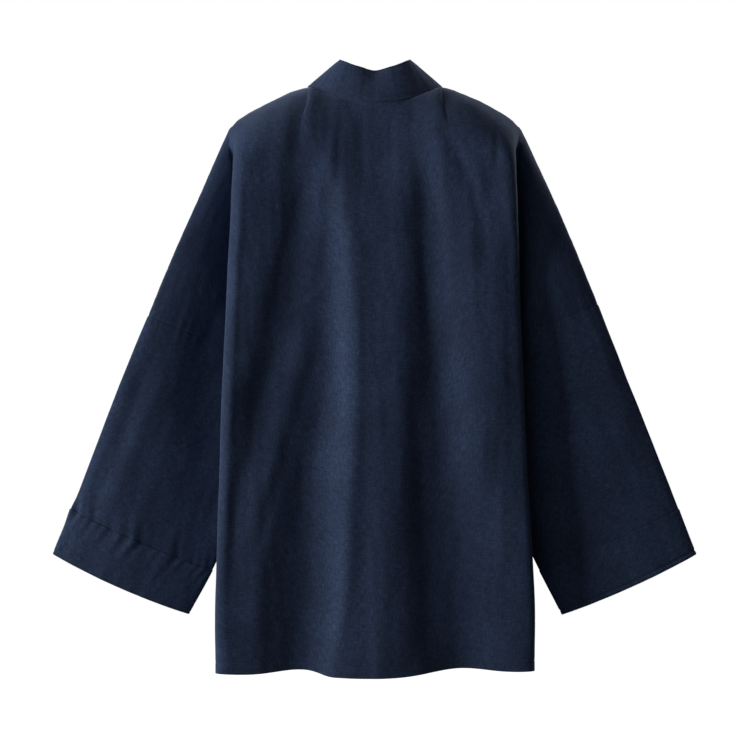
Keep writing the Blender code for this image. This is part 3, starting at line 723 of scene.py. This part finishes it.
def plainWeaveLinen(name):
    material = bpy.data.materials.new(name)
    material.use_nodes = True
    shader = material.node_tree.nodes["Principled BSDF"]
    cut = addNode(material, "ShaderNodeUVMap", {}, uv_map="cut").outputs["UV"]
    split = addNode(material, "ShaderNodeSeparateXYZ", {"Vector": cut})
    u, v = split.outputs["X"], split.outputs["Y"]

    def maths(operation, first, second=0.0):
        return addNode(material, "ShaderNodeMath", {0: first, 1: second}, operation=operation).outputs[0]

    def slubs(wide, long, seed):
        across, along = maths("MULTIPLY", u, wide), maths("MULTIPLY", v, long)
        spot = addNode(material, "ShaderNodeCombineXYZ", {"X": across, "Y": along, "Z": seed}).outputs[0]
        grain = {"Vector": spot, "Scale": 1.0, "Detail": 2.0, "Roughness": 0.55}
        return addNode(material, "ShaderNodeTexNoise", grain).outputs[0]

    wide, long = 1 / (linen["slubWide"] * mm), 1 / (linen["slubLong"] * mm)
    warp, weft = slubs(wide, long, 1.0), slubs(long, wide, 5.0)
    patches = {"Vector": cut, "Scale": 1 / (linen["mottle"] * mm), "Detail": 3.0}
    mottle = addNode(material, "ShaderNodeTexNoise", patches).outputs[0]
    threads = maths("MULTIPLY", maths("ADD", warp, weft), linen["slubShare"])
    pattern = maths("ADD", threads, maths("MULTIPLY", mottle, linen["mottleShare"]))
    ramp = addNode(material, "ShaderNodeValToRGB", {"Fac": pattern})
    stops = ramp.color_ramp.elements
    stops[0].position, stops[0].color = linen["shadeBelow"], colour(linen["shade"])
    stops[1].position, stops[1].color = linen["slubAbove"], colour(linen["slub"])
    middle = stops.new(0.5)
    middle.color = colour(linen["base"])
    material.node_tree.links.new(ramp.outputs[0], shader.inputs["Base Color"])
    # over-and-under of single threads, a little coarser than the real 0.7 mm so that it shows
    turns = math.pi / (linen["thread"] * mm)
    warpWave, weftWave = (maths("SINE", maths("MULTIPLY", way, turns)) for way in (u, v))
    weave = maths("MULTIPLY", maths("MULTIPLY", warpWave, weftWave), linen["weaveShare"])
    height = maths("ADD", weave, maths("ADD", warp, weft))
    relief = {"Height": height, "Strength": linen["bumpStrength"], "Distance": linen["bump"] * mm}
    bump = addNode(material, "ShaderNodeBump", relief)
    material.node_tree.links.new(bump.outputs[0], shader.inputs["Normal"])
    shader.inputs["Roughness"].default_value = linen["roughness"]
    shader.inputs["Sheen Weight"].default_value = linen["sheen"]
    shader.inputs["Sheen Roughness"].default_value = linen["sheenRoughness"]
    shader.inputs["Sheen Tint"].default_value = colour(linen["sheenTint"])
    shader.inputs["Specular IOR Level"].default_value = linen["specular"]
    return material


# Spun polyester sewing thread in the cloth's own navy: a little smoother than the linen, with fuzz
# so fine that it only breaks up the colour.
sewing = {"dark": "#222D43", "light": "#3A4966", "fuzz": 0.4, "roughness": 0.6}


def spunThread(name):
    material = bpy.data.materials.new(name)
    material.use_nodes = True
    shader = material.node_tree.nodes["Principled BSDF"]
    grain = addNode(material, "ShaderNodeTexNoise", {"Scale": 1 / (sewing["fuzz"] * mm), "Detail": 2.0})
    ramp = addNode(material, "ShaderNodeValToRGB", {"Fac": grain.outputs[0]})
    ramp.color_ramp.elements[0].color = colour(sewing["dark"])
    ramp.color_ramp.elements[1].color = colour(sewing["light"])
    material.node_tree.links.new(ramp.outputs[0], shader.inputs["Base Color"])
    shader.inputs["Roughness"].default_value = sewing["roughness"]
    return material


cloth, thread = plainWeaveLinen("navyPlainWeaveLinen"), spunThread("navySpunThread")


def rimEdges(quads, count):
    starts, ends = quads.ravel(), np.roll(quads, -1, axis=1).ravel()
    there, again = starts * count + ends, ends * count + starts
    alone = ~np.isin(there, again)
    corner = np.tile(np.arange(4), len(quads))[alone]
    face = np.repeat(np.arange(len(quads)), 4)[alone]
    return starts[alone], ends[alone], face, corner


def makeShell(piece):
    # both faces of the cloth and the edge between them
    used = np.unique(piece.quads)
    number = np.full(len(piece.cloud()), -1)
    number[used] = np.arange(len(used))
    quads = number[piece.quads]
    middle, normals = piece.middle.reshape(-1, 3)[used], piece.normals.reshape(-1, 3)[used]
    outward, inward = piece.outward.reshape(-1, 1)[used], piece.inward.reshape(-1, 1)[used]
    spots = np.concatenate([middle + normals * outward, middle - normals * inward]) * mm
    count = len(used)
    starts, ends, face, turn = rimEdges(quads, count)
    rims = np.stack([ends, starts, starts + count, ends + count], -1)
    faces = np.concatenate([quads, quads[:, ::-1] + count, rims])
    flat = piece.flat.reshape(-1, 2)
    uv = flat[piece.flatCorners]
    first = flat[piece.flatCorners[face, turn]]
    second = flat[piece.flatCorners[face, (turn + 1) % 4]]
    uv = np.concatenate([uv, uv[:, ::-1], np.stack([second, first, first, second], 1)])
    mesh = bpy.data.meshes.new(piece.name + "Cloth")
    mesh.from_pydata(spots, [], faces.tolist())
    mesh.uv_layers.new(name="cut").data.foreach_set("uv", uv.astype(np.float32).ravel())
    mesh.materials.append(cloth)
    mesh.shade_smooth()
    mesh.set_sharp_from_angle(angle=math.radians(60))
    made = bpy.data.objects.new(piece.name + "Linen", mesh)
    bpy.context.scene.collection.objects.link(made)
    corner = middle[quads]
    crossed = np.cross(corner[:, 2] - corner[:, 0], corner[:, 3] - corner[:, 1])
    area = np.linalg.norm(crossed, axis=-1).sum() / 2
    print(piece.name, "cloth area", round(area * mm * mm, 4), "triangles", 2 * len(faces))
    return made


# Rows of machine stitches in matching thread
stitch = {"pitch": 3.2, "length": 2.5, "radius": 0.28, "sides": 6, "full": 0.6, "aboveSeam": 1.7}


def alongRow(piece, distance, axis, fromEnd=False):
    # the line on the cloth's outer face that runs this far from an edge of the grid
    surface = piece.middle + piece.normals * piece.outward[..., None]
    way = -1 if fromEnd else 1
    grid, surface, normals = (np.moveaxis(values, axis, 0)[::way]
                              for values in (piece.grid, surface, piece.normals))
    length = arcs(grid, 0)
    line, up = (np.array([[np.interp(distance, length[:, column], values[:, column, k]) for k in range(3)]
                          for column in range(grid.shape[1])]) for values in (surface, normals))
    return line, unit(up)


def alongLine(lengths, values, at):
    return np.stack([np.interp(at, lengths, values[:, k]) for k in range(3)], -1)


def makeStitches(name, rows):
    # each stitch is two rings of points with a tip at each end, sunk into the cloth
    sidesRound, half, radius = stitch["sides"], stitch["length"] / 2, stitch["radius"]
    angles = np.arange(sidesRound) * 2 * np.pi / sidesRound
    turns = [(k, (k + 1) % sidesRound) for k in range(sidesRound)]
    last = 2 * sidesRound + 1
    one = [(0, 1 + after, 1 + k) for k, after in turns]
    one += [(1 + k, 1 + after, 1 + sidesRound + after, 1 + sidesRound + k) for k, after in turns]
    one += [(last, 1 + sidesRound + k, 1 + sidesRound + after) for k, after in turns]
    spots, faces = [], []
    for line, up in rows:
        lengths = np.r_[0, np.cumsum(np.linalg.norm(np.diff(line, axis=0), axis=1))]
        at = np.arange(stitch["pitch"], lengths[-1] - stitch["pitch"], stitch["pitch"])
        centre, normal = alongLine(lengths, line, at), unit(alongLine(lengths, up, at))
        tangent = unit(alongLine(lengths, line, at + 1) - alongLine(lengths, line, at - 1))
        side = unit(np.cross(normal, tangent))
        ring = side[:, None] * np.cos(angles)[:, None] + normal[:, None] * np.sin(angles)[:, None]
        tips = [(centre + tangent * half * way - normal * radius)[:, None] for way in (-1, 1)]
        full = tangent * half * stitch["full"]
        rings = [(centre + full * way)[:, None] + ring * radius for way in (-1, 1)]
        block = np.concatenate([tips[0], *rings, tips[1]], 1)
        for start in sum(map(len, spots)) + np.arange(len(block)) * (last + 1):
            faces += [tuple(int(start) + corner for corner in face) for face in one]
        spots.append(block.reshape(-1, 3))
    mesh = bpy.data.meshes.new(name)
    mesh.from_pydata(np.concatenate(spots) * mm, [], faces)
    mesh.materials.append(thread)
    mesh.shade_smooth()
    made = bpy.data.objects.new(name, mesh)
    bpy.context.scene.collection.objects.link(made)
    return made


def hemRows(piece):
    line, up = alongRow(piece, hemLook["depth"], 0, fromEnd=True)
    inside = piece.places <= 2 + near
    return [(line[inside], up[inside])]


def cuffRow(piece, distance):
    line, up = alongRow(piece, distance, 0, fromEnd=True)
    return np.concatenate([line, line[:2]]), np.concatenate([up, up[:2]])


stitchRows = {name: hemRows(cloths[name]) for name in ("back", "front_left", "front_right")}
for sideName, side in sides.items():
    stitchRows["cuff_" + sideName] = [cuffRow(cloths["cuff_" + sideName], cuffSeam[side]["edge"])]
stitchRows["collar"] = [alongRow(cloths["collar"], bandLook["edge"] + stitch["aboveSeam"], 1),
                        alongRow(cloths["collar"], bandLook["edge"], 1, fromEnd=True)]

# Each piece as a shell of cloth in place of its solid, with its rows of stitches; its cloth area is printed
# in square metres
for name, piece in cloths.items():
    made = makeShell(piece)
    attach(made, "root")
    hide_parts(name)
    if name in stitchRows:
        row = makeStitches(name + "Stitches", stitchRows[name])
        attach(row, "root")
print("pieces made")

# Plain pale floor, soft light from the left, camera level with the middle of the back. Sizes in metres.
stage = {"floorBelow": -1.42, "floorSize": 14, "floor": "#FBFBFA", "glow": 1.0,
         "world": "#FFFFFF", "ambient": 0.05}


def plainMaterial(name, code, glow):
    material = bpy.data.materials.new(name)
    material.use_nodes = True
    shader = material.node_tree.nodes["Principled BSDF"]
    shader.inputs["Base Color"].default_value = colour(code)
    shader.inputs["Roughness"].default_value = 0.9
    shader.inputs["Emission Color"].default_value = colour(code)
    shader.inputs["Emission Strength"].default_value = glow
    return material


bpy.ops.mesh.primitive_plane_add(size=stage["floorSize"], location=(0, 0, stage["floorBelow"]))
floor = bpy.context.object
floor.name = "floor"
floor.data.materials.append(plainMaterial("mattPaintedFloor", stage["floor"], stage["glow"]))
floor.visible_diffuse = floor.visible_glossy = False  # it sends no light up into the dark hollows

world = bpy.data.worlds.new("studio")
bpy.context.scene.world = world
world.use_nodes = True
sky = world.node_tree.nodes["Background"]
sky.inputs["Color"].default_value = colour(stage["world"])
ray = world.node_tree.nodes.new("ShaderNodeLightPath")
strength = world.node_tree.nodes.new("ShaderNodeMix")
strength.data_type = "FLOAT"
strength.inputs["A"].default_value = stage["ambient"]
strength.inputs["B"].default_value = 1.0
world.node_tree.links.new(ray.outputs["Is Camera Ray"], strength.inputs["Factor"])
world.node_tree.links.new(strength.outputs["Result"], sky.inputs["Strength"])

lights = {
    "key": {"at": (-3.2, -1.44, -0.1), "to": (0, 0, -0.35), "wide": 1.3, "high": 2.2, "power": 75},
    "edge": {"at": (-3.4, -0.4, 0.25), "to": (-0.1, -0.1, -0.3), "wide": 0.5, "high": 1.8, "power": 42},
    "fill": {"at": (-1.6, -3.4, 0.6), "to": (0, 0, -0.35), "wide": 2.4, "high": 2.4, "power": 11.5},
    "frontSoft": {"at": (2.8, 1.8, 0.7), "to": (0, 0, -0.35), "wide": 2.0, "high": 2.0, "power": 46},
}
for name, look in lights.items():
    data = bpy.data.lights.new(name, "AREA")
    data.shape, data.size, data.size_y, data.energy = "RECTANGLE", look["wide"], look["high"], look["power"]
    lamp = bpy.data.objects.new(name, data)
    lamp.location = look["at"]
    lamp.rotation_euler = (Vector(look["to"]) - Vector(look["at"])).to_track_quat("-Z", "Y").to_euler()
    bpy.context.scene.collection.objects.link(lamp)

view = {"away": 3.0, "high": -0.3744, "lens": 110.77, "sensor": 36}
optics = bpy.data.cameras.new("camera")
optics.lens, optics.sensor_width = view["lens"], view["sensor"]
camera = bpy.data.objects.new("camera", optics)
camera.location = (0, -view["away"], view["high"])
camera.rotation_euler = (math.radians(90), 0, 0)
bpy.context.scene.collection.objects.link(camera)
bpy.context.scene.camera = camera
bpy.context.scene.view_settings.view_transform = "Standard"
print("stage, lights and camera set")
